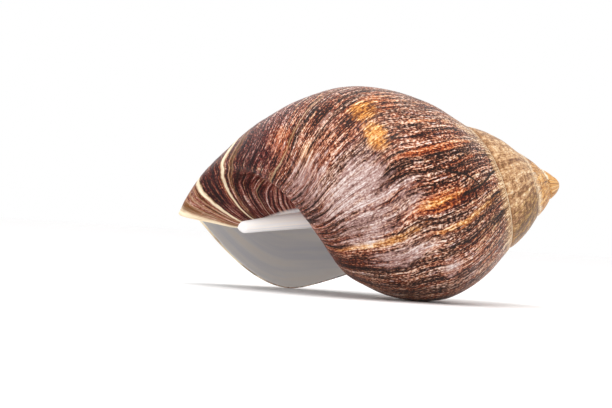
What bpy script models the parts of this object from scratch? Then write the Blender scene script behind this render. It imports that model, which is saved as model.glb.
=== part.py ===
"""Empty shell of a giant African snail, lying on a level surface with its aperture down.

The shell is one wall that coils about an axis. It is modelled as rows of points. A row is one growth
line: it runs from the suture over the whorl and round its base to the columella, the pillar on the axis.
Rows follow one another in the direction of growth, and the last row is the lip of the aperture.
"""

import math

import bmesh
import bpy
import numpy as np

MM = 0.001

# Turns count along the growth. Turn 0 faces the viewer (-Y), turn 0.25 is on top and turn 0.5 behind.
# A growth line is furthest on at the suture and at the columella, by the two leads.
FIRST_TURN = -3.1
LIP_TURN = 0.405
SUTURE_LEAD = 0.165
PILLAR_LEAD = 0.09
CHAMBER_TURNS = 2.05

# The suture: turn, distance along the axis from the apex and radius, in millimetres.
SUTURE_POINTS = [
    (-3.5, 2.2, 2.3),
    (-1.9, 7.3, 5.1),
    (-0.8, 14.3, 11.3),
    (0.25, 29.1, 20.7),
    (1.3, 60.4, 37.0),
]

# One growth line, where 0 is its own suture and 1 is the suture that the next whorl lays over it.
SHOULDER = [0, 0.14 + 0.028j, 0.36 + 0.07j, 0.68 + 0.073j, 1]
BASE = [1.33 - 0.23j, 1.62 - 0.60j, 1.75 - 0.98j, 1.26 - 1.09j, 1.07 - 1.22j]
EARLY_BULGE = 0.55

# Wall and columella, in millimetres.
LIP_WALL = 0.95
PILLAR_RADIUS = 3.2
PILLAR_WIDEST_AT = 50.0
PILLAR_LEAN = 2.6
PILLAR_END = 2.2
PILLAR_END_SLANT = 1.6
APEX_HEIGHT = 2.2

# How the shell lies: the apex is raised, and the top is rolled a little towards the back.
APEX_RAISED = 12.2
ROLLED_BACK = 2.3

STEPS_PER_TURN = 36
SHOULDER_STEPS = 6
CORNER_STEP = 0.08
BASE_STEPS = 13
DOME_STEPS = (0.8, 0.45)

SHELL_COLOUR = (0.115, 0.045, 0.030, 1.0)
SHELL_ROUGHNESS = 0.4


def suture(turn):
    """Distance along the axis + 1j * radius, in millimetres."""
    turns, heights, radii = np.transpose(SUTURE_POINTS)
    degree = len(turns) - 1
    height = np.polyval(np.polyfit(turns, np.log(heights), degree), turn)
    radius = np.polyval(np.polyfit(turns, np.log(radii), degree), turn)
    return np.exp(height) + 1j * np.exp(radius)


def smooth_curve(points, places):
    """A smooth curve through complex points, at places counted along its chords."""
    points = np.array(points, complex)
    knots = np.concatenate([[0], np.cumsum(np.abs(np.diff(points)))])
    slopes = np.gradient(points, knots, edge_order=2)
    k = np.clip(np.searchsorted(knots, places, side="right") - 1, 0, len(points) - 2)
    step = knots[k + 1] - knots[k]
    u = (places - knots[k]) / step
    start = (1 + 2 * u) * (1 - u) ** 2 * points[k] + u * (1 - u) ** 2 * step * slopes[k]
    end = u**2 * (3 - 2 * u) * points[k + 1] - u**2 * (1 - u) * step * slopes[k + 1]
    return start + end


def ease(value):
    value = np.clip(value, 0, 1)
    return value**2 * (3 - 2 * value)


def column_places():
    """Places of the points of a growth line: even steps, and a short one for the wall at the suture."""
    shoulder_length = np.abs(np.diff(SHOULDER)).sum()
    base_length = np.abs(np.diff(SHOULDER[-1:] + BASE)).sum()
    shoulder = np.linspace(0, shoulder_length, SHOULDER_STEPS + 1)
    base = shoulder_length + np.linspace(CORNER_STEP, base_length, BASE_STEPS + 1)
    return np.concatenate([shoulder, base])


def pillar_radius(height):
    """The columella is thickest in the middle of the shell and thins out at both ends."""
    place = height / PILLAR_WIDEST_AT
    return PILLAR_RADIUS * (place * np.exp(1 - place)) ** 2.5


def along_base():
    """How far each column is between the covered point, 0, and the columella, 1."""
    places = column_places()
    covered = places[SHOULDER_STEPS]
    return (places - covered) / (places[-1] - covered)


def near_pillar():
    return ease(2 * along_base() - 1)


def growth_lines(turns):
    """Turn about the axis and section point (height + 1j * radius) for each row and column."""
    lead = SUTURE_LEAD * (1 - ease(1.2 * along_base())) + PILLAR_LEAD * near_pillar()
    around = turns[:, None] + lead
    outline = smooth_curve(SHOULDER + BASE, column_places())
    bulge = EARLY_BULGE + (1 - EARLY_BULGE) * ease(around + 1.5)
    rise = np.where(outline.imag > 0, outline.imag * bulge, outline.imag)
    start = suture(around)
    section = start + (suture(around + 1) - start) * (outline.real + 1j * rise)
    gap = pillar_radius(section.real[:, -1:]) - section.imag[:, -1:]
    return around, section + 1j * gap * near_pillar()


def inner_face(section):
    """The same points moved inwards by the wall's thickness, ending on the columella."""
    along = np.gradient(section, axis=1)
    whorl = np.abs(section[:, SHOULDER_STEPS] - section[:, 0])
    wall = LIP_WALL * np.sqrt(whorl / whorl[-1])[:, None]
    inner = section - 1j * along / np.abs(along) * wall
    foot = section[:, -1].real - 1.5 * wall[:, 0]
    inner[:, -1] = foot + 1j * pillar_radius(foot)
    return inner


def to_space(around, section, on_pillar):
    """Points with the apex at the origin, the axis along -X and turn 0.25 up.

    The end of the columella leans towards the lip, and takes along what grows on it.
    """
    angle, lip_angle = 2 * math.pi * around, 2 * math.pi * LIP_TURN
    radius = section.imag
    lean = PILLAR_LEAN * on_pillar * ease(section.real / PILLAR_WIDEST_AT - 1)
    y = -radius * np.cos(angle) - lean * math.cos(lip_angle)
    z = radius * np.sin(angle) + lean * math.sin(lip_angle)
    return np.stack([-section.real, y, z], axis=-1)


def sheet(ids):
    """Four-sided faces between neighbouring rows and columns of point numbers."""
    corners = np.stack([ids[:-1, :-1], ids[1:, :-1], ids[1:, 1:], ids[:-1, 1:]], axis=-1)
    return [tuple(face) for face in corners.reshape(-1, 4).tolist()]


def zip_strip(first, second):
    """Triangles between two lines of point numbers that start together."""
    faces = []
    a, b = 0, 0
    while a < len(first) - 1 or b < len(second) - 1:
        step_first = (a + 1) * (len(second) - 1) <= (b + 1) * (len(first) - 1)
        if b == len(second) - 1 or (step_first and a < len(first) - 1):
            faces.append((first[a], first[a + 1], second[b]))
            a += 1
        else:
            faces.append((first[a], second[b + 1], second[b]))
            b += 1
    return [face for face in faces if len(set(face)) == 3]


def fan(centre, ring):
    return [(centre, a, b) for a, b in zip(ring, ring[1:])]


def dome_ring(rim, share):
    """The rim drawn in towards the apex as on a rounded cap, where 1 is the rim and 0 the apex."""
    ring = rim * share
    ring[:, 0] = (rim[:, 0] + APEX_HEIGHT) * share**2 - APEX_HEIGHT
    return ring


def shell_points_and_faces():
    turn = STEPS_PER_TURN
    row_count = round((LIP_TURN - FIRST_TURN) * turn) + 1
    lip = row_count - 1
    joint = SHOULDER_STEPS
    mouth = lip - turn
    deep = lip - round(CHAMBER_TURNS * turn)
    turns = LIP_TURN + (np.arange(row_count) - lip) / turn

    around, section = growth_lines(turns)
    outer_points = to_space(around, section, near_pillar())
    inner_points = to_space(around[deep:], inner_face(section)[deep:], near_pillar())
    columns = outer_points.shape[1]
    outer = np.arange(row_count * columns).reshape(row_count, columns)
    inner = outer.size + np.arange(inner_points.size // 3).reshape(-1, columns)

    # The next whorl starts on this one, and the chamber's corner lies on the wall of the whorl before.
    outer[: lip - turn + 1, joint] = outer[turn:, 0]
    inner[:, 0] = outer[deep - turn : mouth + 1, joint + 1]

    slant = PILLAR_END_SLANT * (np.cos(2 * math.pi * (turns[mouth:lip] - LIP_TURN)) - 1) / 2
    end_height = section[lip, -1].real + PILLAR_END + slant
    end_section = end_height + 1j * pillar_radius(end_height)
    end_points = to_space(turns[mouth:lip] + PILLAR_LEAD, end_section, 1)
    end_ring = outer.size + inner_points.size // 3 + np.arange(turn)
    end_centre = end_ring[-1] + 1
    end_loop = np.append(end_ring, end_ring[0])

    rim_ids = np.concatenate([outer[:turn, 0], outer[0, joint:0:-1]])
    rim = outer_points.reshape(-1, 3)[rim_ids]
    rim[turn] = outer_points[turn, 0]
    dome = [dome_ring(rim, share) for share in DOME_STEPS]
    rings = end_centre + 1 + np.arange(len(rim) * len(dome)).reshape(len(dome), -1)
    rings = np.concatenate([[rim_ids], rings])
    apex = rings[-1, -1] + 1

    faces = sheet(outer[: mouth + 1, : joint + 1])
    faces += sheet(outer[mouth:])
    faces += sheet(outer[deep - turn : mouth + 1, joint + 1 :])
    faces += sheet(inner)
    faces += sheet(np.stack([outer[deep - turn : mouth + 1, -1], inner[:, -1]], axis=1))
    faces += sheet(np.stack([outer[lip], inner[-1]]))
    faces += sheet(np.stack([outer[mouth + 1 :, -1], end_loop[1:]], axis=1))
    aperture_side = [outer[mouth, -1], inner[-1, -1], outer[lip, -1], end_loop[0], end_loop[1]]
    faces += fan(outer[mouth + 1, -1], aperture_side)
    faces += fan(end_centre, end_loop)
    faces += zip_strip(list(inner[0]), list(outer[deep - turn, joint + 1 :]))
    faces += sheet(np.concatenate([rings, rings[:, :1]], axis=1))
    faces += fan(apex, np.append(rings[-1], rings[-1, 0]))

    points = [outer_points.reshape(-1, 3), inner_points.reshape(-1, 3), end_points]
    points += [end_points.mean(axis=0, keepdims=True), *dome, [(-APEX_HEIGHT, 0, 0)]]
    return np.concatenate(points), faces


def lying_points(points):
    """Turns the shell as it lies, then puts its lowest point at 0 and its middle over the origin."""
    raised, rolled = math.radians(APEX_RAISED), math.radians(ROLLED_BACK)
    roll = np.array([
        [1, 0, 0],
        [0, math.cos(rolled), math.sin(rolled)],
        [0, -math.sin(rolled), math.cos(rolled)],
    ])
    pitch = np.array([
        [math.cos(raised), 0, -math.sin(raised)],
        [0, 1, 0],
        [math.sin(raised), 0, math.cos(raised)],
    ])
    points = points @ roll.T @ pitch.T
    low, high = points.min(axis=0), points.max(axis=0)
    return points - [(low[0] + high[0]) / 2, (low[1] + high[1]) / 2, low[2]]


def shell_material():
    material = bpy.data.materials.new("shell")
    material.use_nodes = True
    surface = material.node_tree.nodes["Principled BSDF"]
    surface.inputs["Base Color"].default_value = SHELL_COLOUR
    surface.inputs["Roughness"].default_value = SHELL_ROUGHNESS
    surface.inputs["Metallic"].default_value = 0.0
    material.diffuse_color = SHELL_COLOUR
    return material


def make_shell():
    points, faces = shell_points_and_faces()
    used = np.unique([number for face in faces for number in face])
    new_number = {old: new for new, old in enumerate(used.tolist())}
    faces = [tuple(new_number[number] for number in face) for face in faces]

    mesh = bpy.data.meshes.new("shell")
    mesh.from_pydata(lying_points(points[used]) * MM, [], faces)
    work = bmesh.new()
    work.from_mesh(mesh)
    bmesh.ops.recalc_face_normals(work, faces=work.faces)
    work.to_mesh(mesh)
    work.free()
    mesh.materials.append(shell_material())
    shell = bpy.data.objects.new("shell", mesh)
    bpy.context.collection.objects.link(shell)
    return shell


for leftover in list(bpy.data.objects):
    bpy.data.objects.remove(leftover, do_unlink=True)
make_shell()
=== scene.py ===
"""An empty giant African snail shell with its colours, lying in soft light."""

import math

import bmesh
import bpy
import numpy as np
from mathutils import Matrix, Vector


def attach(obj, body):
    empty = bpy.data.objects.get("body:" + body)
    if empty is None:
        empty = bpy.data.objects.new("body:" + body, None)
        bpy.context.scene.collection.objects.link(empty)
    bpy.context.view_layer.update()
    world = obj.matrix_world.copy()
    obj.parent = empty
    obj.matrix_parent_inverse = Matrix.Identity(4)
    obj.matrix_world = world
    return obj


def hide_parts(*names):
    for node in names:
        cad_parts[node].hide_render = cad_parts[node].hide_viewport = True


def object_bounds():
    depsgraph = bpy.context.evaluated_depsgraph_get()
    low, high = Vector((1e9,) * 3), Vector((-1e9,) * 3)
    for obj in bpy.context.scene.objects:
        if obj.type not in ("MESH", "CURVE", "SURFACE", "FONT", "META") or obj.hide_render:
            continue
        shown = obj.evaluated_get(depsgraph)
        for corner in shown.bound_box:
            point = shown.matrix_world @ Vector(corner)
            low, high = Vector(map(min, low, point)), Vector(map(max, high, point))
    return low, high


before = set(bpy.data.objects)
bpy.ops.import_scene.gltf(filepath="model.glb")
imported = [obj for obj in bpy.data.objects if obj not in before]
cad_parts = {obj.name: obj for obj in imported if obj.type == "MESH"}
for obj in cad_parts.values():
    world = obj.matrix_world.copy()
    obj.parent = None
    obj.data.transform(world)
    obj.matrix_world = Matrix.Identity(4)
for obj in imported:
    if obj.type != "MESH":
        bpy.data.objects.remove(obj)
cad_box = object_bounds()


# The shell: one wall of aragonite, a chalky mineral, under a thin horny skin. It grew at its lip, one thin
# growth line after another, each a little larger than the last and a little further round the axis, and it
# coils over itself at the suture. Nothing is fixed to it.

# Its form, in turns and millimetres. A growth line is a curve of places: 0 is its own suture, 1.015 the
# suture that covers it, and 3.02 the columella. The leads say how far, in turns, a line runs ahead there.
MM = 0.001
FIRST_TURN = -3.1
LIP_TURN = 0.405
CHAMBER_TURNS = 2.05
SUTURE_LEAD = 0.165
PILLAR_LEAD = 0.09

# The suture: turn, distance along the axis and distance from it.
SUTURE_POINTS = [
    (-3.5, 2.2, 2.3), (-1.9, 7.3, 5.1), (-0.8, 14.3, 11.3), (0.25, 29.1, 20.7), (1.3, 60.4, 37.0),
]

# The corners of a growth line: 0 is its own suture, 1 the next, and the imaginary part bulges outwards. The
# whorls before EARLY_ENDS bulge less.
SHOULDER = [0, 0.14 + 0.028j, 0.36 + 0.07j, 0.68 + 0.073j, 1]
BASE = [1.33 - 0.23j, 1.62 - 0.60j, 1.75 - 0.98j, 1.26 - 1.09j, 1.07 - 1.22j]
EARLY_BULGE = 0.55
EARLY_ENDS = -1.5

# The wall at the lip, the columella with its leaning, slanted and rounded end, and the apex.
LIP_WALL = 0.95
LIP_FORWARD = 0.5
PILLAR_RADIUS = 3.2
PILLAR_WIDEST_AT = 50.0
PILLAR_NARROWING = 2.5
PILLAR_LEAN = 2.6
PILLAR_FOOT_WALLS = 1.5
PILLAR_END = 2.2
PILLAR_END_SLANT = 1.6
PILLAR_TIP = 0.8
PILLAR_TIP_RISE = 0.05
PILLAR_TIP_RINGS = ((0.9, 0.3), (0.66, 0.62), (0.35, 0.8))
APEX_HEIGHT = 2.2
APEX_PLACE = 0.5

# How finely it is made: rows in a turn, points along a line, and rings round the lip, which are given in
# degrees, and round the apex.
TURN_ROWS = 300
SHOULDER_STEPS = 24
EVENLY_SPACED = 0.25
CORNER_STEP = 0.08
BASE_STEPS = 39
PILLAR_STEPS = 8
LIP_ROUNDING = (35, 90, 145)
DOME_SHARES = (0.92, 0.8, 0.65, 0.48, 0.28)


def suture(turn):
    """Distance along the axis + 1j * radius, in millimetres."""
    turns, heights, radii = np.transpose(SUTURE_POINTS)
    height = np.polyval(np.polyfit(turns, np.log(heights), len(turns) - 1), turn)
    radius = np.polyval(np.polyfit(turns, np.log(radii), len(turns) - 1), turn)
    return np.exp(height) + 1j * np.exp(radius)


def smooth_curve(corners, places):
    """A smooth curve through complex points, at places counted along its chords."""
    corners = np.array(corners, complex)
    knots = np.concatenate([[0], np.cumsum(np.abs(np.diff(corners)))])
    slopes = np.gradient(corners, knots, edge_order=2)
    k = np.clip(np.searchsorted(knots, places, side="right") - 1, 0, len(corners) - 2)
    step = knots[k + 1] - knots[k]
    u = (places - knots[k]) / step
    start = (1 + 2 * u) * (1 - u) ** 2 * corners[k] + u * (1 - u) ** 2 * step * slopes[k]
    end = u**2 * (3 - 2 * u) * corners[k + 1] - u**2 * (1 - u) * step * slopes[k + 1]
    return start + end


def ease(value):
    """0 below 0 and 1 above 1, with a soft start and end between."""
    value = np.clip(value, 0, 1)
    return value**2 * (3 - 2 * value)


def pillar_radius(height):
    """The columella grows with the shell and narrows again below its widest place."""
    share = height / PILLAR_WIDEST_AT
    return PILLAR_RADIUS * (share * np.exp(1 - share)) ** PILLAR_NARROWING


joint = SHOULDER_STEPS
shoulder_length = np.abs(np.diff(SHOULDER)).sum()
base_length = np.abs(np.diff(SHOULDER[-1:] + BASE)).sum()
even = np.linspace(0, 1, SHOULDER_STEPS + 1)
closer_at_sutures = EVENLY_SPACED * even + (1 - EVENLY_SPACED) * (1 - np.cos(math.pi * even)) / 2
places = np.concatenate([
    shoulder_length * closer_at_sutures,
    shoulder_length + np.linspace(CORNER_STEP, base_length, BASE_STEPS + 1),
])
along_base = (places - places[joint]) / (places[-1] - places[joint])
near_pillar = ease(2 * along_base - 1)

row_count = round((LIP_TURN - FIRST_TURN) * TURN_ROWS) + 1
lip = row_count - 1
mouth = lip - TURN_ROWS
deep = lip - round(CHAMBER_TURNS * TURN_ROWS)
turns = LIP_TURN + (np.arange(row_count) - lip) / TURN_ROWS

around = turns[:, None] + SUTURE_LEAD * (1 - ease(1.2 * along_base)) + PILLAR_LEAD * near_pillar
outline = smooth_curve(SHOULDER + BASE, places)
bulge = EARLY_BULGE + (1 - EARLY_BULGE) * ease(around - EARLY_ENDS)
rise = np.where(outline.imag > 0, outline.imag * bulge, outline.imag)
section = suture(around) + (suture(around + 1) - suture(around)) * (outline.real + 1j * rise)
section = section + 1j * (pillar_radius(section.real[:, -1:]) - section.imag[:, -1:]) * near_pillar

# The inner face of the wall, as thick as a real shell's at the lip and thinner in the early whorls.
across = np.gradient(section, axis=1)
whorl = np.abs(section[:, joint] - section[:, 0])
wall = LIP_WALL * np.sqrt(whorl / whorl[-1])[:, None]
inner_section = section - 1j * across / np.abs(across) * wall
foot = section[:, -1].real - PILLAR_FOOT_WALLS * wall[:, 0]
inner_section[:, -1] = foot + 1j * pillar_radius(foot)


# The sheets that make up the wall. Their points are stored unwound, as turn about the axis, height along it
# and distance from it, and a corner of a face keeps the growth line and place of its own sheet.
stored = {"around": [], "section": [], "on_pillar": [], "turn": [], "place": []}
stored_count = 0


def store(around, section, on_pillar, turn, place):
    """Stores points and returns their numbers, in the same rows and columns."""
    global stored_count
    shape = np.broadcast_shapes(*(np.shape(value) for value in (around, section, on_pillar, turn, place)))
    for name, value in zip(stored, (around, section, on_pillar, turn, place)):
        stored[name].append(np.broadcast_to(value, shape).ravel())
    numbers = stored_count + np.arange(math.prod(shape)).reshape(shape)
    stored_count += numbers.size
    return numbers


def stored_at(name, numbers):
    return np.concatenate(stored[name])[numbers]


faces, looks, sides = [], [], []
OUTSIDE, INSIDE, PILLAR = 0, 1, 2


def sheet(numbers, own=None, side=OUTSIDE, turned=False):
    """Faces between neighbouring rows and columns. own numbers the points that give a corner its look."""
    own = numbers if own is None else own
    for grid, kept in ((numbers, faces), (own, looks)):
        corners = np.stack([grid[:-1, :-1], grid[1:, :-1], grid[1:, 1:], grid[:-1, 1:]], axis=-1)
        corners = corners.reshape(-1, 4)[:, ::-1 if turned else 1]
        kept.extend(corners.tolist())
    sides.extend([side] * (len(faces) - len(sides)))


def triangle(a, b, c, side):
    if len({a, b, c}) == 3:
        faces.append([a, b, c])
        looks.append([a, b, c])
        sides.append(side)


def zip_strip(first, second, side):
    """Triangles between two lines of points, each step going to the line that is behind."""
    def lengths(line):
        steps = np.abs(np.diff(stored_at("section", line)))
        return np.concatenate([[0], np.cumsum(steps)]) / max(steps.sum(), 1e-9)

    first, second = [int(a) for a in first], [int(b) for b in second]
    first_length, second_length = lengths(first), lengths(second)
    a = b = 0
    while a < len(first) - 1 or b < len(second) - 1:
        behind = b == len(second) - 1
        behind = behind or (a < len(first) - 1 and first_length[a + 1] <= second_length[b + 1])
        if behind:
            triangle(first[a], first[a + 1], second[b], side)
            a += 1
        else:
            triangle(first[a], second[b + 1], second[b], side)
            b += 1


outer_own = store(around, section, near_pillar, turns[:, None], places)
outer = outer_own.copy()
outer[: mouth + 1, joint] = outer_own[TURN_ROWS:, 0]
inner_own = store(
    around[deep:, ::2], inner_section[deep:, ::2], near_pillar[::2], turns[deep:, None], places[::2]
)
inner = inner_own.copy()
inner[:, 0] = outer[deep - TURN_ROWS : mouth + 1, joint + 1]

sheet(outer[: mouth + 1, : joint + 1], outer_own[: mouth + 1, : joint + 1])
sheet(outer[mouth:], outer_own[mouth:])
sheet(outer[deep - TURN_ROWS : mouth + 1, joint + 1 :], side=INSIDE)
sheet(inner, inner_own, side=INSIDE, turned=True)

# The lip is rounded over the wall's thickness.
lip_middle = (section[lip] + inner_section[lip]) / 2
lip_half = (section[lip] - inner_section[lip]) / 2
lip_rings = []
for degrees in LIP_ROUNDING:
    forward = LIP_FORWARD * np.abs(lip_half) * math.sin(math.radians(degrees))
    forward = forward / (2 * math.pi * lip_middle.imag)
    ring_section = lip_middle + lip_half * math.cos(math.radians(degrees))
    lip_rings.append(store(around[lip] + forward, ring_section, near_pillar, LIP_TURN, places))
lip_rings = np.stack([outer[lip], *lip_rings])
lip_rings[1:, 0] = outer[lip, 0]
lip_own = np.concatenate([outer_own[lip:], lip_rings[1:]])
sheet(lip_rings, lip_own, side=OUTSIDE)
zip_strip(lip_rings[-1], inner[-1], INSIDE)

# The columella, seen inside the chamber and, below the aperture, from outside. Its end is rounded.
steps = np.arange(1, PILLAR_STEPS) / PILLAR_STEPS
top = section[deep - TURN_ROWS : mouth + 1, -1:].real
heights = top + (foot[deep:, None] - top) * steps
chamber_pillar = store(
    turns[deep:, None] + PILLAR_LEAD, heights + 1j * pillar_radius(heights), 1, turns[deep:, None], places[-1]
)
sheet(
    np.hstack([outer[deep - TURN_ROWS : mouth + 1, -1:], chamber_pillar, inner[:, -1:]]), side=PILLAR
)

end_turns = turns[mouth:lip]
slant = PILLAR_END_SLANT * (np.cos(2 * math.pi * (end_turns - LIP_TURN)) - 1) / 2
end_height = section[lip, -1].real + PILLAR_END + slant
end_radius = pillar_radius(end_height)
end_ring = store(
    end_turns + PILLAR_LEAD, end_height - PILLAR_TIP + 1j * end_radius, 1, end_turns, places[-1]
)
end_loop = np.append(end_ring, end_ring[0])
outside_turns = turns[mouth + 1 :, None]
top = section[mouth + 1 :, -1:].real
heights = top + (stored_at("section", end_loop[1:]).real[:, None] - top) * steps
outside_pillar = store(
    outside_turns + PILLAR_LEAD, heights + 1j * pillar_radius(heights), 1, outside_turns, places[-1]
)
sheet(np.hstack([outer[mouth + 1 :, -1:], outside_pillar, end_loop[1:, None]]), side=PILLAR)
aperture_side = [outer[mouth, -1], *chamber_pillar[-1], inner[-1, -1], *lip_rings[::-1, -1]]
aperture_side += [*outside_pillar[-1], end_loop[0]]
zip_strip(aperture_side, [outer[mouth + 1, -1], *outside_pillar[0], end_loop[1]], PILLAR)

end_rings = [end_ring]
for share, out in PILLAR_TIP_RINGS:
    ring_section = end_height - PILLAR_TIP + out + 1j * end_radius * share
    end_rings.append(store(end_turns + PILLAR_LEAD, ring_section, 1, end_turns, places[-1]))
end_rings = np.array(end_rings)
sheet(np.hstack([end_rings, end_rings[:, :1]]), side=PILLAR)
end_tip = int(store([0.0], [end_height.mean() + PILLAR_TIP_RISE + 0j], [1], LIP_TURN, places[-1])[0])
for a, b in zip(end_rings[-1], np.roll(end_rings[-1], -1)):
    triangle(int(a), int(b), end_tip, PILLAR)

# The chamber is closed where the early whorls begin, and the apex is a small rounded cap.
zip_strip(inner[0], [*outer[deep - TURN_ROWS, joint + 1 :], *chamber_pillar[0], inner[0, -1]], INSIDE)
rim = np.concatenate([outer[:TURN_ROWS, 0], outer[0, joint:0:-1]])
dome = [rim]
for share in DOME_SHARES:
    rim_section = stored_at("section", rim)
    ring_section = APEX_HEIGHT + (rim_section.real - APEX_HEIGHT) * share**2 + 1j * rim_section.imag * share
    dome.append(store(stored_at("around", rim), ring_section, 0, stored_at("turn", rim), APEX_PLACE))
dome = np.array(dome)
sheet(np.hstack([dome, dome[:, :1]]))
apex = int(store([0.0], [APEX_HEIGHT + 0j], [0], FIRST_TURN, APEX_PLACE)[0])
for a, b in zip(dome[-1], np.roll(dome[-1], -1)):
    triangle(int(a), int(b), apex, OUTSIDE)

all_around, all_section, all_on_pillar, all_turn, all_place = (np.concatenate(stored[n]) for n in stored)
all_lean = PILLAR_LEAN * all_on_pillar * ease(all_section.real / PILLAR_WIDEST_AT - 1)


# Where the colours lie. The pigment is laid down at the lip with the shell, so streaks run along growth
# lines. pigment_turn tells the streak that a point is in: the streaks bend back a little towards the
# suture and round the base, and draw together at the columella.
def pigment_turn(turn, place):
    at_suture = np.interp(place, [0, 0.34, 0.68, 1], [0.05, 0.03, 0.01, 0])
    behind = np.interp(place, [1, 1.42, 1.6, 1.95, 2.27], [0, 0.007, 0.022, 0.061, 0.08])
    below = np.interp(place, [1, 1.42, 1.89, 2.27], [0, 0.007, 0.0215, 0.02])
    bend = np.where(turn < 0.08, below + (behind - below) * np.clip((0.08 - turn) / 0.18, 0, 1), 0)
    bend = np.where(turn >= 0.08, below * np.clip((0.2 - turn) / 0.12, 0, 1), bend)
    gather = np.interp(place, [2.35, 2.5, 2.6, 2.7, 2.75, 2.93], [0, 0.045, 0.1, 0.165, 0.2, 0.24])
    return turn - at_suture - bend - gather * np.clip((LIP_TURN - turn) / 0.155, 0, 1)


# Each patch: pigment turn, place, half its width in turns, half its length in places, strength.
# The pale patches lighten the skin. In the middle of the body whorl they are partly worn bloom and partly a
# painted highlight.
PALE_AND_HIGHLIGHT_PATCHES = [
    (-0.09, 1.5, 0.028, 0.2, 0.8), (-0.1, 1.65, 0.06, 0.4, 0.7), (-0.04, 2.0, 0.04, 0.2, 0.5),
    (-0.27, 0.98, 0.02, 0.12, 0.65), (-0.22, 1.5, 0.022, 0.35, 0.65), (-0.14, 1.25, 0.03, 0.2, 0.5),
    (-0.155, 1.75, 0.035, 0.35, 0.7), (-1.09, 0.45, 0.03, 0.25, 0.7), (-0.3, 0.7, 0.02, 0.2, 0.3),
    (0.02, 1.55, 0.02, 0.15, 0.3), (0.0, 2.0, 0.04, 0.25, 0.6), (0.16, 2.1, 0.02, 0.15, 0.3),
    (0.1, 1.95, 0.03, 0.12, 0.35), (-0.1, 2.05, 0.03, 0.25, 0.4),
]
AMBER_PATCHES = [
    (-0.05, 1.27, 0.022, 0.1, 1.0), (-0.005, 1.22, 0.018, 0.12, 1.0), (0.02, 1.88, 0.02, 0.1, 0.6),
    (-0.19, 1.6, 0.007, 0.5, 0.7), (-0.207, 0.5, 0.006, 0.6, 0.6), (-0.165, 0.95, 0.007, 0.25, 0.65),
]
RUST_PATCHES = [
    (0.1, 1.93, 0.03, 0.13, 0.85), (-0.0915, 0.8, 0.007, 0.45, 1.0), (-0.165, 0.95, 0.012, 0.35, 1.0),
    (-0.12, 0.5, 0.004, 0.4, 0.7), (-0.044, 0.8, 0.004, 0.3, 0.7), (0.0, 1.1, 0.03, 0.3, 0.6),
    (-0.207, 0.8, 0.008, 0.6, 0.5), (0.02, 1.5, 0.06, 0.4, 0.35), (0.09, 1.6, 0.02, 0.3, 0.4),
]
HORN_PATCHES = [
    (0.0, 0.0, 0.08, 0.3, 0.6), (-0.2, 0.0, 0.25, 0.1, 0.9), (-0.28, 0.0, 0.1, 0.16, 0.8),
    (-0.18, 0.4, 0.1, 0.3, 0.25),
]
# Most shade patches are dark pigment. The three on the lower rim, at pigment turns -0.34, -0.28 and -0.235,
# make a maroon band that is partly dark pigment and partly painted shadow under the rim.
SHADE_PATCHES = [
    (-1.3, 0.45, 0.085, 0.6, 0.8), (-0.235, 0.28, 0.04, 0.18, 0.8), (-0.097, 0.62, 0.008, 0.3, 1.0),
    (-0.175, 0.65, 0.008, 0.4, 0.8), (-0.235, 0.6, 0.02, 0.4, 0.6),
    (-0.295, 0.5, 0.02, 0.4, 0.4), (-0.05, 2.12, 0.2, 0.12, 0.6), (0.2, 2.3, 0.08, 0.4, 0.7),
    (0.29, 2.45, 0.03, 0.2, 1.0), (-0.34, 0.9, 0.03, 0.4, 0.5), (-0.28, 1.5, 0.02, 0.3, 0.6),
    (-0.235, 1.8, 0.018, 0.4, 1.2), (0.0, 1.45, 0.06, 0.2, 0.4), (0.05, 2.2, 0.06, 0.2, 0.4),
]


# How far from its middle a patch is whole and where it ends, as shares of its half width and half length.
PATCH_WHOLE, PATCH_ENDS = 0.24, 1.84


def patches(spots, turn, place):
    """A patch's strength in its middle, about half of that at its stated edge and 0 well outside it."""
    covered = np.zeros_like(turn)
    for spot_turn, spot_place, half_turn, half_place, strength in spots:
        distance = np.hypot((turn - spot_turn) / half_turn, (place - spot_place) / half_place)
        faded = ease((distance - PATCH_WHOLE) / (PATCH_ENDS - PATCH_WHOLE))
        covered = np.maximum(covered, strength * (1 - faded))
    return covered


# Each point's way along the coil and along its growth line, in millimetres.
all_pigment = pigment_turn(all_turn, all_place)
turn_scale = np.linspace(-3.6, 0.6, 900)
coil_scale = np.cumsum(2 * math.pi * suture(turn_scale + 1).imag) * (turn_scale[1] - turn_scale[0])
coil_mm = np.interp(all_pigment, turn_scale, coil_scale)
whorl_mm = np.abs(suture(all_turn + 1) - suture(all_turn))
line_mm = all_place * whorl_mm

# Growth ridges fade out over these places at the suture and the columella, over a fortieth of a turn at the
# lip, and between two early turns.
SUTURE_FADE, PILLAR_FADE = 0.12, 0.35
LIP_FADE = 1 / 40
RIDGES_BEGIN, RIDGES_FULL = -2.6, -1.4
at_joint = np.where(all_turn < turns[mouth], np.abs(all_place - places[joint]), 1)
to_suture = np.minimum(all_place, at_joint)
ridge_share = ease(to_suture / SUTURE_FADE) * ease((places[-1] - all_place) / PILLAR_FADE)
ridge_share = ridge_share * ease((LIP_TURN - all_turn) / LIP_FADE)
ridge_share = ridge_share * ease((all_turn - RIDGES_BEGIN) / (RIDGES_FULL - RIDGES_BEGIN))
is_outer = np.arange(stored_count) < outer_own.size
ridge_share = np.where(is_outer, ridge_share, 0)

# The groove at the suture is narrower and shallower on the small early whorls.
GROOVE_WIDTH, GROOVE_WIDTH_SHARE, GROOVE_FULL_WHORL = 0.45, 0.05, 4.0
from_suture = to_suture * whorl_mm / np.minimum(GROOVE_WIDTH, GROOVE_WIDTH_SHARE * whorl_mm)
groove_share = np.exp(-from_suture**2) * np.minimum(whorl_mm / GROOVE_FULL_WHORL, 1)
groove_share = np.where(is_outer, groove_share, 0)

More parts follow.
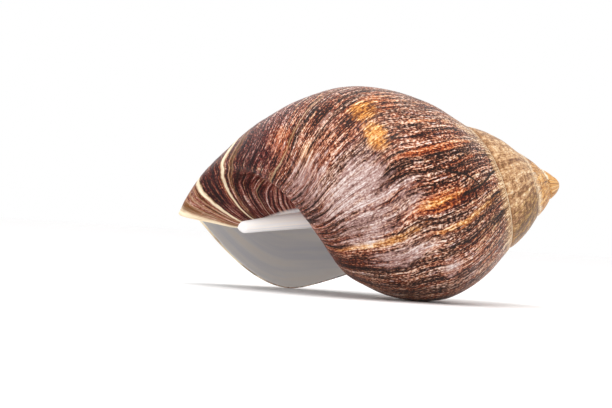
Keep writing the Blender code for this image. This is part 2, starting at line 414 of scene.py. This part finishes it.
used = np.unique([number for face in faces for number in face])
new_number = np.zeros(stored_count, int)
new_number[used] = np.arange(len(used))
kept_faces, corner_looks, corner_sides = [], [], []
for face, look, side in zip(faces, looks, sides):
    keep = [k for k in range(len(face)) if face[k] != face[k - 1]]
    if len(set(face)) < 3:
        continue
    kept_faces.append([int(new_number[face[k]]) for k in keep])
    corner_looks.extend(look[k] for k in keep)
    corner_sides.extend([side] * len(keep))
corner_looks, corner_sides = np.array(corner_looks), np.array(corner_sides)

unwound = bpy.data.meshes.new("shell_growth_lines")
unwound.from_pydata(
    np.stack([all_around, all_section.real, all_section.imag], axis=-1)[used], [], kept_faces
)


def mark(name, kind, domain, values):
    attribute = unwound.attributes.new(name, kind, domain)
    field = "value" if kind == "FLOAT" else "vector"
    attribute.data.foreach_set(field, np.asarray(values, np.float32).ravel())


mark("lean", "FLOAT", "POINT", all_lean[used])
mark("ridge_share", "FLOAT", "POINT", ridge_share[used])
mark("groove_share", "FLOAT", "POINT", groove_share[used])
mark("coil_mm", "FLOAT", "POINT", coil_mm[used])
mark("line_mm", "FLOAT", "POINT", line_mm[used])
corner_pigment, corner_place = all_pigment[corner_looks], all_place[corner_looks]
corner_turn, corner_whorl = all_turn[corner_looks], whorl_mm[corner_looks]
growth = np.stack([coil_mm[corner_looks], line_mm[corner_looks], corner_pigment], axis=-1)
mark("growth", "FLOAT_VECTOR", "CORNER", growth)
mark("place", "FLOAT", "CORNER", corner_place)
mark("turn", "FLOAT", "CORNER", corner_turn)
for name, spots, spot_turn in (
    ("pale", PALE_AND_HIGHLIGHT_PATCHES, corner_pigment),
    ("amber", AMBER_PATCHES, corner_pigment),
    ("rust", RUST_PATCHES, corner_pigment),
    ("horn", HORN_PATCHES, corner_turn),
    ("shade", SHADE_PATCHES, corner_pigment),
):
    mark(name, "FLOAT", "CORNER", patches(spots, spot_turn, corner_place))

# The distances below and above a suture, in millimetres, or in smaller steps on a small whorl.
FAR_FROM_SUTURE, SMALL_WHORL = 9.0, 9.0
step = np.minimum(1, corner_whorl / SMALL_WHORL)
to_cover = (places[joint] - corner_place) * corner_whorl
to_cover = np.where(corner_turn < turns[mouth], to_cover, FAR_FROM_SUTURE)
mark("below_suture", "FLOAT", "CORNER", np.clip(corner_place * corner_whorl / step, 0, FAR_FROM_SUTURE))
mark("above_suture", "FLOAT", "CORNER", np.clip(to_cover / step, 0, FAR_FROM_SUTURE))

# Glaze covers the inside. Outside it is a callus, on the whorl just within the aperture and along the
# columella.
CALLUS_TURNS = 0.02
CALLUS_BEGINS, CALLUS_RISE = 0.1, 0.2
PILLAR_CALLUS_PLACE, PILLAR_CALLUS_RISE = 2.96, 0.05
callus = (1 - ease((corner_turn - turns[mouth]) / CALLUS_TURNS)) * (corner_turn >= turns[mouth])
callus = callus * ease((corner_place - places[joint] - CALLUS_BEGINS) / CALLUS_RISE)
callus = np.maximum(callus, ease((corner_place - PILLAR_CALLUS_PLACE) / PILLAR_CALLUS_RISE))
mark("glaze", "FLOAT", "CORNER", np.where(corner_sides == OUTSIDE, callus, 1))


# Winding the shell. The tree winds the growth lines about the axis, raises the growth ridges and swells that
# each pause in growth leaves on the outside, and sinks a groove at the suture, all in millimetres. A ridge
# changes slowly along its line, by this share of what it does across it.
RIDGE_HEIGHT, RIDGE_SPACING = 0.16, 1.9
SWELL_HEIGHT, SWELL_SPACING = 0.5, 8.0
CHANGE_ALONG_LINE = 0.02
GROOVE_DEPTH = 0.3
SEED = 4


def node(tree, kind, inputs=(), stops=(), **settings):
    """Adds a node and returns its first output. An input, named or counted from 0, takes a value or the
    socket that it is linked to. In a Map Range, 1 and 2 are the ends that become 3 and 4, or 0 and 1."""
    made = tree.nodes.new(kind)
    for name, value in settings.items():
        setattr(made, name, value)
    for key, value in dict(inputs).items():
        if isinstance(value, bpy.types.NodeSocket):
            tree.links.new(value, made.inputs[key])
        else:
            made.inputs[key].default_value = value
    if stops:
        ramp = made.color_ramp
        while len(ramp.elements) < len(stops):
            ramp.elements.new(0.5)
        for element, (position, colour) in zip(ramp.elements, stops):
            element.position = position
            element.color = colour
    return next((output for output in made.outputs if output.enabled), made)


wind = bpy.data.node_groups.new("Wind a shell", "GeometryNodeTree")
wind.is_modifier = True
wind.interface.new_socket("Geometry", in_out="OUTPUT", socket_type="NodeSocketGeometry")
wind.interface.new_socket("Geometry", in_out="INPUT", socket_type="NodeSocketGeometry")
wind_values = {
    "Ridge height": RIDGE_HEIGHT,
    "Ridge spacing": RIDGE_SPACING,
    "Swell height": SWELL_HEIGHT,
    "Swell spacing": SWELL_SPACING,
    "Groove depth": GROOVE_DEPTH,
    "Lip turn": LIP_TURN,
    "Seed": float(SEED),
}
wind_sockets = {
    name: wind.interface.new_socket(name, in_out="INPUT", socket_type="NodeSocketFloat")
    for name in wind_values
}
wind_sockets["Material"] = wind.interface.new_socket(
    "Material", in_out="INPUT", socket_type="NodeSocketMaterial"
)
given = wind.nodes.new("NodeGroupInput").outputs
unwound_place = node(wind, "ShaderNodeSeparateXYZ", {0: node(wind, "GeometryNodeInputPosition")})
wound_turn, height, radius = unwound_place.node.outputs
angle = node(wind, "ShaderNodeMath", {0: wound_turn, 1: 2 * math.pi}, operation="MULTIPLY")
sine = node(wind, "ShaderNodeMath", {0: angle}, operation="SINE")
cosine = node(wind, "ShaderNodeMath", {0: angle}, operation="COSINE")
lean = node(wind, "GeometryNodeInputNamedAttribute", {"Name": "lean"}, data_type="FLOAT")
lip_angle = node(wind, "ShaderNodeMath", {0: given["Lip turn"], 1: 2 * math.pi}, operation="MULTIPLY")
lip_sine = node(wind, "ShaderNodeMath", {0: lip_angle}, operation="SINE")
lip_cosine = node(wind, "ShaderNodeMath", {0: lip_angle}, operation="COSINE")
lean_up = node(wind, "ShaderNodeMath", {0: lean, 1: lip_sine}, operation="MULTIPLY")
lean_forward = node(wind, "ShaderNodeMath", {0: lean, 1: lip_cosine}, operation="MULTIPLY")
up = node(wind, "ShaderNodeMath", {0: radius, 1: sine, 2: lean_up}, operation="MULTIPLY_ADD")
forward = node(wind, "ShaderNodeMath", {0: radius, 1: cosine, 2: lean_forward}, operation="MULTIPLY_ADD")
backward = node(wind, "ShaderNodeMath", {0: forward, 1: -1.0}, operation="MULTIPLY")
along = node(wind, "ShaderNodeMath", {0: height, 1: -1.0}, operation="MULTIPLY")
wound_place = node(wind, "ShaderNodeCombineXYZ", {0: along, 1: backward, 2: up})
wound = node(wind, "GeometryNodeSetPosition", {"Geometry": given["Geometry"], "Position": wound_place})

along_coil = node(wind, "GeometryNodeInputNamedAttribute", {"Name": "coil_mm"}, data_type="FLOAT")
along_line = node(wind, "GeometryNodeInputNamedAttribute", {"Name": "line_mm"}, data_type="FLOAT")
line_slowly = node(wind, "ShaderNodeMath", {0: along_line, 1: CHANGE_ALONG_LINE}, operation="MULTIPLY")
heights_of = []
for spacing, size in (("Ridge spacing", "Ridge height"), ("Swell spacing", "Swell height")):
    count = node(wind, "ShaderNodeMath", {0: along_coil, 1: given[spacing]}, operation="DIVIDE")
    where = node(wind, "ShaderNodeCombineXYZ", {0: count, 1: line_slowly, 2: given["Seed"]})
    waves = node(wind, "ShaderNodeTexNoise", {"Vector": where, "Scale": 1.0, "Detail": 1.0})
    level = node(wind, "ShaderNodeMath", {0: waves, 1: 0.5}, operation="SUBTRACT")
    heights_of.append(node(wind, "ShaderNodeMath", {0: level, 1: given[size]}, operation="MULTIPLY"))
raised_by = node(wind, "ShaderNodeMath", {0: heights_of[0], 1: heights_of[1]}, operation="ADD")
ridged = node(wind, "GeometryNodeInputNamedAttribute", {"Name": "ridge_share"}, data_type="FLOAT")
raised_by = node(wind, "ShaderNodeMath", {0: raised_by, 1: ridged}, operation="MULTIPLY")
grooved = node(wind, "GeometryNodeInputNamedAttribute", {"Name": "groove_share"}, data_type="FLOAT")
groove = node(wind, "ShaderNodeMath", {0: grooved, 1: given["Groove depth"]}, operation="MULTIPLY")
raised_by = node(wind, "ShaderNodeMath", {0: raised_by, 1: groove}, operation="SUBTRACT")
outward = node(wind, "ShaderNodeVectorMath", {0: node(wind, "GeometryNodeInputNormal"), "Scale": raised_by},
               operation="SCALE")
relieved = node(wind, "GeometryNodeSetPosition", {"Geometry": wound, "Offset": outward})
whole = node(wind, "GeometryNodeRealizeInstances", {"Geometry": relieved})
finished = node(wind, "GeometryNodeSetMaterial", {"Geometry": whole, "Material": given["Material"]})
node(wind, "NodeGroupOutput", {0: finished})


# The shell's finish. Aragonite, a chalky mineral, under a thin horny skin that carries chestnut streaks.
# The skin is satin, and worn off in flecks and bloomed over in places, where the pale mineral shows. On the
# body whorl the pale mauve-white bloom is partly worn skin and partly a painted highlight.
def tint(code):
    """An sRGB hex code as linear red, green and blue with alpha."""
    parts = [int(code[k : k + 2], 16) / 255 for k in (1, 3, 5)]
    return [part / 12.92 if part <= 0.04045 else ((part + 0.055) / 1.055) ** 2.4 for part in parts] + [1.0]


shell_skin = bpy.data.materials.new("horny_skin_over_aragonite")
shell_skin.use_nodes = True
skin = shell_skin.node_tree
surface = skin.nodes["Principled BSDF"]

growth = node(skin, "ShaderNodeAttribute", attribute_name="growth").node.outputs["Vector"]
pigment = node(skin, "ShaderNodeSeparateXYZ", {0: growth}).node.outputs[2]
place, turn, pale, amber, rust, horn, shade, glazed, below_suture, above_suture = (
    node(skin, "ShaderNodeAttribute", attribute_name=name).node.outputs["Fac"]
    for name in (
        "place", "turn", "pale", "amber", "rust", "horn", "shade", "glaze", "below_suture", "above_suture",
    )
)

# The grain of the skin: each layer's width across the growth lines and length along them in millimetres,
# how fine its noise is, how much it adds to the level, which runs from dark pigment to worn skin, and what
# it is limited to. Real growth lines are about 0.3 mm apart; they are drawn twice as coarse, as finer ones do
# not show. The masks by_base, early and by_lip are 1 round the base, on the early whorls and near the lip.
by_base = node(skin, "ShaderNodeMapRange", {0: place, 1: 1.75, 2: 2.6})
early = node(skin, "ShaderNodeMapRange", {0: turn, 1: -0.45, 2: -0.98})
by_lip = node(skin, "ShaderNodeMapRange", {0: pigment, 1: 0.0, 2: 0.12, 3: 0.0, 4: 0.9})
fine = node(skin, "ShaderNodeMath", {0: by_base, 1: -0.6, 2: 1.0}, operation="MULTIPLY_ADD")
fine = node(skin, "ShaderNodeMath", {0: early, 1: -0.6, 2: fine}, operation="MULTIPLY_ADD")
smooth = node(skin, "ShaderNodeMath", {0: pale, 1: amber}, operation="ADD", use_clamp=True)
calm = node(skin, "ShaderNodeMath", {0: smooth, 1: -0.45, 2: fine}, operation="MULTIPLY_ADD")
flecked = node(skin, "ShaderNodeMath", {0: by_lip, 1: 0.25, 2: calm}, operation="MULTIPLY_ADD")
SKIN_LEVEL, TIP_LEVEL = 0.475, 0.56
level = node(skin, "ShaderNodeMath", {0: pale, 1: 0.1, 2: SKIN_LEVEL}, operation="MULTIPLY_ADD")
level = node(skin, "ShaderNodeMath", {0: amber, 1: 0.1, 2: level}, operation="MULTIPLY_ADD")
level = node(skin, "ShaderNodeMath", {0: by_lip, 1: -0.03, 2: level}, operation="MULTIPLY_ADD")
level = node(skin, "ShaderNodeMath", {0: shade, 1: -0.2, 2: level}, operation="MULTIPLY_ADD")
grain = {}
for name, width, length, detail, weight, only_on in (
    ("broad", 5.0, 60.0, 3.0, 0.5, None),
    ("streak", 1.8, 20.0, 4.0, 0.6, None),
    ("line", 0.5, 10.0, 3.0, 1.3, calm),
    ("blotch", 1.1, 2.4, 3.0, 0.5, calm),
    ("fleck", 0.42, 0.8, 2.0, 1.4, flecked),
    ("mottle", 1.4, 1.6, 4.0, 0.95, early),
    ("spiral", 12.0, 0.7, 2.0, 0.2, None),
    ("base_line", 2.2, 14.0, 4.0, 1.4, by_base),
    ("hue", 1.4, 5.0, 3.0, 0.0, None),
):
    where = node(skin, "ShaderNodeVectorMath", {0: growth, 1: (1 / width, 1 / length, 0)},
                 operation="MULTIPLY")
    grain[name] = node(
        skin, "ShaderNodeTexNoise",
        {"Vector": where, "Scale": 1.0, "Detail": detail, "Roughness": 0.6},
        noise_dimensions="2D",
    )
    change = node(skin, "ShaderNodeMath", {0: grain[name], 1: 0.5}, operation="SUBTRACT")
    if only_on is not None:
        change = node(skin, "ShaderNodeMath", {0: change, 1: only_on}, operation="MULTIPLY")
    level = node(skin, "ShaderNodeMath", {0: change, 1: weight, 2: level}, operation="MULTIPLY_ADD")

tip = node(skin, "ShaderNodeMapRange", {0: turn, 1: -2.4, 2: -2.8, 3: 0.0, 4: 0.8})
level = node(skin, "ShaderNodeMix", {0: tip, 2: level, 3: TIP_LEVEL}, data_type="FLOAT")

# Umber skin, and over it the other tints, each from dark to worn. A tint lies where its mask, broken up
# by the streaks and blotches, is high. Broad streaks of chestnut and rust are 3.2 mm wide and 34 mm long.
where = node(skin, "ShaderNodeVectorMath", {0: growth, 1: (1 / 3.2, 1 / 34, 0)}, operation="MULTIPLY")
tone = node(skin, "ShaderNodeTexNoise", {"Vector": where, "Scale": 1.0, "Detail": 4.0}, noise_dimensions="2D")
redder = node(skin, "ShaderNodeMapRange", {0: tone, 1: 0.35, 2: 0.65})
rusty = node(skin, "ShaderNodeMapRange", {0: tone, 1: 0.42, 2: 0.25, 3: 0.0, 4: 0.55})
rust = node(skin, "ShaderNodeMath", {0: rust, 1: rusty}, operation="MAXIMUM")
maroon = node(skin, "ShaderNodeMath", {0: by_base, 1: 0.85}, operation="MULTIPLY")
maroon = node(skin, "ShaderNodeMath", {0: by_lip, 1: maroon}, operation="MAXIMUM")
mauve = node(skin, "ShaderNodeMapRange", {0: grain["hue"], 1: 0.52, 2: 0.8})
earliest = node(skin, "ShaderNodeMapRange", {0: turn, 1: -1.2, 2: -2.8})
horny = node(skin, "ShaderNodeMath", {0: early, 1: horn}, operation="MAXIMUM")
olive = node(skin, "ShaderNodeMath", {0: early, 1: shade}, operation="MULTIPLY")
by_suture = node(skin, "ShaderNodeMapRange", {0: below_suture, 1: 1.5, 2: 5.0, 3: 0.85, 4: 0.0})
horny = node(skin, "ShaderNodeMath", {0: horny, 1: by_suture}, operation="MAXIMUM")
# Bloom: pale mineral where the skin has worn, and on the body whorl partly a painted highlight.
bloom_and_highlight_mask = node(skin, "ShaderNodeMath", {0: early, 1: -1.0, 2: pale}, operation="MULTIPLY_ADD")
TINTS = {
    "umber": (None, "#1a0b07", "#6b3f2d", "#c49a82", "#ecdacd"),
    "chestnut": (redder, "#220905", "#803a21", "#cd9271", "#f0d8c6"),
    "maroon": (maroon, "#1f0506", "#68231d", "#b07565", "#ead2ca"),
    "mauve": (mauve, "#201010", "#6c4541", "#b99d99", "#eae0e0"),
    "rust": (rust, "#48160a", "#a64920", "#d58956", "#efcaa8"),
    "amber": (amber, "#692f0e", "#c87c31", "#efbe77", "#fdeecb"),
    "horn": (horny, "#7c5736", "#c0946a", "#e0c097", "#f5e7cb"),
    "olive": (olive, "#5a3f20", "#a17a45", "#cda86a", "#ecd8aa"),
    "apricot": (earliest, "#a06a38", "#cf9552", "#e4b87b", "#f3deb4"),
    "bloom_and_painted_highlight": (bloom_and_highlight_mask, "#85605a", "#ab8b84", "#c6b1ab", "#e3d7d3"),
}
body = None
for name, (mask, darkest, middle, light, palest) in TINTS.items():
    shades = node(skin, "ShaderNodeValToRGB", {0: level}, stops=[
        (0.28, tint(darkest)), (0.5, tint(middle)), (0.7, tint(light)), (0.9, tint(palest)),
    ])
    if mask is None:
        body = shades
        continue
    edge = node(skin, "ShaderNodeMath", {0: grain["streak"], 1: 1.4, 2: mask}, operation="MULTIPLY_ADD")
    edge = node(skin, "ShaderNodeMath", {0: grain["blotch"], 1: 1.1, 2: edge}, operation="MULTIPLY_ADD")
    amount = node(skin, "ShaderNodeMapRange", {0: edge, 1: 1.45, 2: 2.15}, interpolation_type="SMOOTHSTEP")
    body = node(skin, "ShaderNodeMix", {0: amount, 6: body, 7: shades}, data_type="RGBA")

# The suture: a cream thread where a whorl begins, and above it a brown band of painted shade in the crease.
# On the earliest whorls the skin above it has worn to cream.
# The second entry, #7a4f2c, is painted shade in the crease above the suture, not dirt.
for distance, reach, strength, thread_tint, only_on in (
    (above_suture, 2.6, 1.0, "#f3e6cc", earliest), (above_suture, 0.7, 0.6, "#7a4f2c", None),
    (below_suture, 0.7, 0.85, "#f0e1c2", None),
):
    ragged = node(skin, "ShaderNodeMath", {0: grain["blotch"], 1: reach * 1.6, 2: distance},
                  operation="MULTIPLY_ADD")
    thread = node(skin, "ShaderNodeMapRange",
                  {0: ragged, 1: reach * 0.9, 2: reach * 1.7, 3: strength, 4: 0.0},
                  interpolation_type="SMOOTHSTEP")
    if only_on is not None:
        thread = node(skin, "ShaderNodeMath", {0: thread, 1: only_on}, operation="MULTIPLY")
    body = node(skin, "ShaderNodeMix", {0: thread, 6: body, 7: tint(thread_tint)}, data_type="RGBA")

# The thin horn of the spire has cracked finely as it dried, into pieces of about 1.5 by 1.9 mm.
where = node(skin, "ShaderNodeVectorMath", {0: growth, 1: (1 / 1.5, 1 / 1.9, 0)}, operation="MULTIPLY")
wander = grain["blotch"].node.outputs["Color"]
where = node(skin, "ShaderNodeVectorMath", {0: wander, 1: where}, operation="ADD")
cracks = node(skin, "ShaderNodeTexVoronoi", {"Vector": where, "Scale": 1.0},
              voronoi_dimensions="2D", feature="DISTANCE_TO_EDGE")
cracks = node(skin, "ShaderNodeMapRange", {0: cracks, 1: 0.03, 2: 0.13, 3: 0.45, 4: 0.0})
cracks = node(skin, "ShaderNodeMath", {0: cracks, 1: early}, operation="MULTIPLY")
body = node(skin, "ShaderNodeMix", {0: cracks, 6: body, 7: tint("#7b4a33")}, data_type="RGBA")


def grey(value):
    return (value, value, value, 1)


# One old growth stop near the suture, and a hairline crack that runs from it over the side: dark lines of
# about 0.4 mm with soft edges. Each ramp gives, for a place on the line, ten times the pigment turn past -0.2.
for begin, end, path in (
    (0.08, 0.66, [(0.135, 0.413), (0.271, 0.343), (0.389, 0.296), (0.507, 0.299), (0.643, 0.328)]),
    (0.41, 0.76, [
        (0.423, 0.299), (0.474, 0.412), (0.524, 0.508), (0.592, 0.598), (0.677, 0.665), (0.76, 0.725),
    ]),
):
    stops = [(at, grey(turns_on)) for at, turns_on in path]
    crack = node(skin, "ShaderNodeValToRGB", {0: place}, stops=stops)
    crack = node(skin, "ShaderNodeMath", {0: crack, 1: 0.1, 2: -0.2}, operation="MULTIPLY_ADD")
    crack = node(skin, "ShaderNodeMath", {0: pigment, 1: crack}, operation="SUBTRACT")
    crack = node(skin, "ShaderNodeMath", {0: crack}, operation="ABSOLUTE")
    crack = node(skin, "ShaderNodeMapRange", {0: crack, 1: 0.0014, 2: 0.0034, 3: 0.95, 4: 0.0})
    begun = node(skin, "ShaderNodeMapRange", {0: place, 1: begin, 2: begin + 0.03})
    ended = node(skin, "ShaderNodeMapRange", {0: place, 1: end, 2: end + 0.06, 3: 1.0, 4: 0.0})
    crack = node(skin, "ShaderNodeMath", {0: crack, 1: begun}, operation="MULTIPLY")
    crack = node(skin, "ShaderNodeMath", {0: crack, 1: ended}, operation="MULTIPLY")
    body = node(skin, "ShaderNodeMix", {0: crack, 6: body, 7: tint("#1a0d08")}, data_type="RGBA")

# Cream lines and bands that older lips have left, near the lip of today.
wobble = node(skin, "ShaderNodeMath", {0: grain["blotch"], 1: 0.008, 2: pigment}, operation="MULTIPLY_ADD")
wobble = node(skin, "ShaderNodeMath", {0: grain["base_line"], 1: 0.006, 2: wobble}, operation="MULTIPLY_ADD")
band_place = node(skin, "ShaderNodeMapRange", {0: wobble, 1: 0.067, 2: 0.412})
CREAM_BANDS = [
    (0.03, 0.0), (0.042, 0.7), (0.054, 0.0), (0.43, 0.0), (0.44, 0.5), (0.45, 0.0), (0.468, 0.5), (0.48, 0.0),
    (0.505, 0.0), (0.518, 1.0), (0.54, 1.0), (0.558, 0.0), (0.748, 0.0), (0.762, 1.0), (0.788, 1.0),
    (0.804, 0.0), (0.828, 0.5), (0.84, 0.0), (0.868, 0.5), (0.885, 0.0), (0.91, 0.5), (0.925, 0.3),
    (0.955, 0.5), (0.975, 1.0),
]
bands = node(skin, "ShaderNodeValToRGB", {0: band_place},
             stops=[(at, grey(strength)) for at, strength in CREAM_BANDS])
on_side = node(skin, "ShaderNodeMapRange", {0: place, 1: 1.0, 2: 2.0, 3: -1.35, 4: 0.0})
unworn = node(skin, "ShaderNodeMath", {0: grain["line"], 1: 3.2, 2: on_side}, operation="MULTIPLY_ADD")
unworn = node(skin, "ShaderNodeMath", {0: unworn, 1: 1.0}, operation="MINIMUM")
band_share = node(skin, "ShaderNodeMath", {0: bands, 1: unworn}, operation="MULTIPLY", use_clamp=True)
creamy = node(skin, "ShaderNodeMath", {0: grain["line"], 1: 1.6, 2: -1.0}, operation="MULTIPLY_ADD")
creamy = node(skin, "ShaderNodeMath", {0: bands, 1: creamy}, operation="ADD", use_clamp=True)
band_colour = node(skin, "ShaderNodeMix", {0: creamy, 6: tint("#a86f33"), 7: tint("#f4e6c9")},
                   data_type="RGBA")
body = node(skin, "ShaderNodeMix", {0: band_share, 6: body, 7: band_colour}, data_type="RGBA")

# The glaze inside: smooth bluish-white porcelain, and a thin callus of it at the edge of the aperture.
porcelain = node(skin, "ShaderNodeValToRGB", {0: grain["broad"]}, stops=[
    (0.3, tint("#d9d8dc")), (0.55, tint("#e9e5e2")), (0.75, tint("#efe6dc")),
])
glaze_edge = node(skin, "ShaderNodeMapRange", {0: glazed, 1: 0.2, 2: 0.8}, interpolation_type="SMOOTHSTEP")
shell_colour = node(skin, "ShaderNodeMix", {0: glaze_edge, 6: body, 7: porcelain}, data_type="RGBA")
skin.links.new(shell_colour, surface.inputs["Base Color"])

# Satin where the skin is whole, duller where it is worn, and glossy on the glaze. The dusty skin reflects
# little, and its lines, streaks and faint spiral grain stand 0.15 mm high at most.
roughness = node(skin, "ShaderNodeMapRange", {0: level, 1: 0.3, 2: 0.8, 3: 0.34, 4: 0.55})
roughness = node(skin, "ShaderNodeMix", {0: glaze_edge, 2: roughness, 3: 0.16}, data_type="FLOAT")
skin.links.new(roughness, surface.inputs["Roughness"])
surface.inputs["IOR"].default_value = 1.5
surface.inputs["Specular IOR Level"].default_value = 0.15
surface.inputs["Metallic"].default_value = 0.0

skin_relief = node(skin, "ShaderNodeMath", {0: grain["line"], 1: grain["spiral"]}, operation="ADD")
skin_relief = node(skin, "ShaderNodeMath", {0: grain["streak"], 1: skin_relief}, operation="ADD")
bump_share = node(skin, "ShaderNodeMapRange", {0: glaze_edge, 1: 0.0, 2: 1.0, 3: 0.6, 4: 0.05})
bump = node(skin, "ShaderNodeBump",
            {"Strength": bump_share, "Distance": 0.15 * MM, "Height": skin_relief})
skin.links.new(bump, surface.inputs["Normal"])

shell_parts = bpy.data.objects.new("shell_growth_lines", unwound)
bpy.context.collection.objects.link(shell_parts)
winding = shell_parts.modifiers.new("Wind a shell", "NODES")
winding.node_group = wind
for name, value in wind_values.items():
    winding[wind_sockets[name].identifier] = value
winding[wind_sockets["Material"].identifier] = shell_skin
evaluated = shell_parts.evaluated_get(bpy.context.evaluated_depsgraph_get())
shell_mesh = bpy.data.meshes.new_from_object(evaluated)
shell_parts.modifiers.remove(winding)
bpy.data.objects.remove(shell_parts)

# The shell is turned as it lies, with its apex raised and its back rolled down, in degrees, and the outermost
# point of each side is put on the side of the CAD box.
APEX_RAISED, ROLLED_BACK = 12.2, 2.3
raised, rolled = math.radians(APEX_RAISED), math.radians(ROLLED_BACK)
roll = np.array([
    [1, 0, 0], [0, math.cos(rolled), math.sin(rolled)], [0, -math.sin(rolled), math.cos(rolled)],
])
pitch = np.array([
    [math.cos(raised), 0, -math.sin(raised)], [0, 1, 0], [math.sin(raised), 0, math.cos(raised)],
])
shell_points = np.empty(len(shell_mesh.vertices) * 3, np.float32)
shell_mesh.vertices.foreach_get("co", shell_points)
shell_points = shell_points.reshape(-1, 3).astype(float) @ roll.T @ pitch.T * MM
low, high = shell_points.min(axis=0), shell_points.max(axis=0)
box_low, box_high = np.array(cad_box[0]), np.array(cad_box[1])
shell_points = box_low + (shell_points - low) * (box_high - box_low) / (high - low)
shell_mesh.vertices.foreach_set("co", shell_points.astype(np.float32).ravel())
turned_out = bmesh.new()
turned_out.from_mesh(shell_mesh)
bmesh.ops.recalc_face_normals(turned_out, faces=turned_out.faces)
turned_out.to_mesh(shell_mesh)
turned_out.free()
for polygon in shell_mesh.polygons:
    polygon.use_smooth = True
SHARP_FROM_DEGREES = 50
shell_mesh.set_sharp_from_angle(angle=math.radians(SHARP_FROM_DEGREES))

# The suture is a crease between two whorls: its edges join points that are next to each other along it.
OFF_SUTURE = -9
along_suture = np.full(len(shell_mesh.vertices), OFF_SUTURE)
along_suture[new_number[outer[: mouth + 1, joint]]] = np.arange(mouth + 1)
ends = np.empty(len(shell_mesh.edges) * 2, np.int32)
shell_mesh.edges.foreach_get("vertices", ends)
ends = along_suture[ends.reshape(-1, 2)]
creased = (ends.min(axis=1) >= 0) & (np.abs(ends[:, 0] - ends[:, 1]) == 1)
sharp = np.empty(len(creased), bool)
shell_mesh.attributes["sharp_edge"].data.foreach_get("value", sharp)
shell_mesh.attributes["sharp_edge"].data.foreach_set("value", sharp | creased)
shell_mesh.update()
shell = bpy.data.objects.new("shell_of_growth_lines", shell_mesh)
bpy.context.collection.objects.link(shell)
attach(shell, "root")
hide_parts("shell")


# The floor: a plain board in matt white paint, which gives soft shadows and no gloss. The shell rests on it
# by its own weight.
FLOOR_REACH = 3
floor_paint = bpy.data.materials.new("matt_white_paint")
floor_paint.use_nodes = True
floor_surface = floor_paint.node_tree.nodes["Principled BSDF"]
floor_surface.inputs["Base Color"].default_value = tint("#fefdfd")
floor_surface.inputs["Roughness"].default_value = 0.8
floor_mesh = bpy.data.meshes.new("floor")
floor_corners = [(x * FLOOR_REACH, y * FLOOR_REACH, 0) for x, y in ((-1, -1), (1, -1), (1, 1), (-1, 1))]
floor_mesh.from_pydata(floor_corners, [], [(0, 1, 2, 3)])
floor_mesh.materials.append(floor_paint)
floor = bpy.data.objects.new("floor", floor_mesh)
bpy.context.collection.objects.link(floor)


# The light: a bright white room, with a large soft lamp above the shell and a weak one at its left. They give
# the pale, even light of a studio and a faint shadow.
world = bpy.data.worlds.new("bright room")
world.use_nodes = True
world.node_tree.nodes["Background"].inputs["Color"].default_value = (1, 1, 1, 1)
world.node_tree.nodes["Background"].inputs["Strength"].default_value = 1.0
bpy.context.scene.world = world
for name, stand_at, aim, size, power in (
    ("lamp above", (-0.1, -0.25, 0.6), (0, 0, 0.02), 0.5, 2.2),
    ("lamp at the left", (-0.6, -0.4, 0.3), (0, 0, 0.03), 0.4, 0.5),
):
    lamp = bpy.data.lights.new(name, "AREA")
    lamp.shape = "DISK"
    lamp.size = size
    lamp.energy = power
    stand = bpy.data.objects.new(name, lamp)
    bpy.context.collection.objects.link(stand)
    stand.location = stand_at
    stand.rotation_euler = (Vector(aim) - Vector(stand_at)).to_track_quat("-Z", "Y").to_euler()


# The camera: it stands where the photograph was taken from, to the left of the shell's middle, and is rolled
# by about 4 degrees, because the shell lies level here and is tilted in the photograph.
camera_data = bpy.data.cameras.new("camera")
camera_data.lens = 111.765
camera_data.sensor_width = 36
camera_data.clip_start = 0.01
camera = bpy.data.objects.new("camera", camera_data)
camera.location = (-0.14834, -0.51463, 0.01819)
camera.rotation_euler = (math.radians(90.723), math.radians(-3.839), math.radians(-14.091))
bpy.context.collection.objects.link(camera)
bpy.context.scene.camera = camera
bpy.context.scene.view_settings.view_transform = "Standard"
